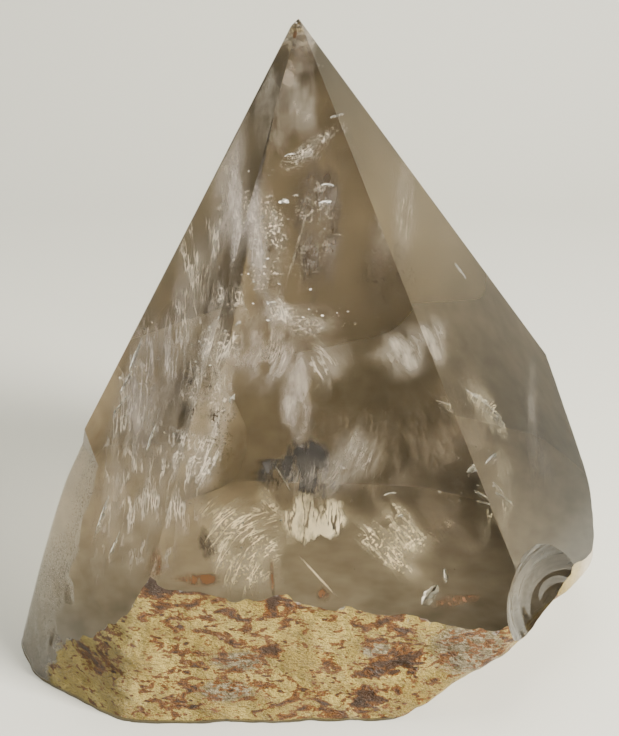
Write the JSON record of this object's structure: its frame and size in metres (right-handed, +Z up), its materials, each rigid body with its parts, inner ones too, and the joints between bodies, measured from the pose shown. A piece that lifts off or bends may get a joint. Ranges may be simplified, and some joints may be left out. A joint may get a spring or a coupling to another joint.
{
  "type": "polished quartz point",
  "caption": "Clear, faintly smoky quartz point: flat ground facets meet in one tip over a rough, rust-stained natural foot cut flat to stand on.",
  "frame": {"origin": "on the flat resting face, straight below the tip", "axes": "+Z up through the tip, -Y out of the front facet, +X to the right of the front facet seen from outside"},
  "size_m": [0.0984, 0.0839, 0.1],
  "materials": {
    "quartz": "polished facets over a rough, iron-stained natural foot; faintly smoky and see-through, with inner veils and fractures"
  },
  "bodies": {
    "root": {"quartz_point": "quartz"}
  },
  "joints": []
}
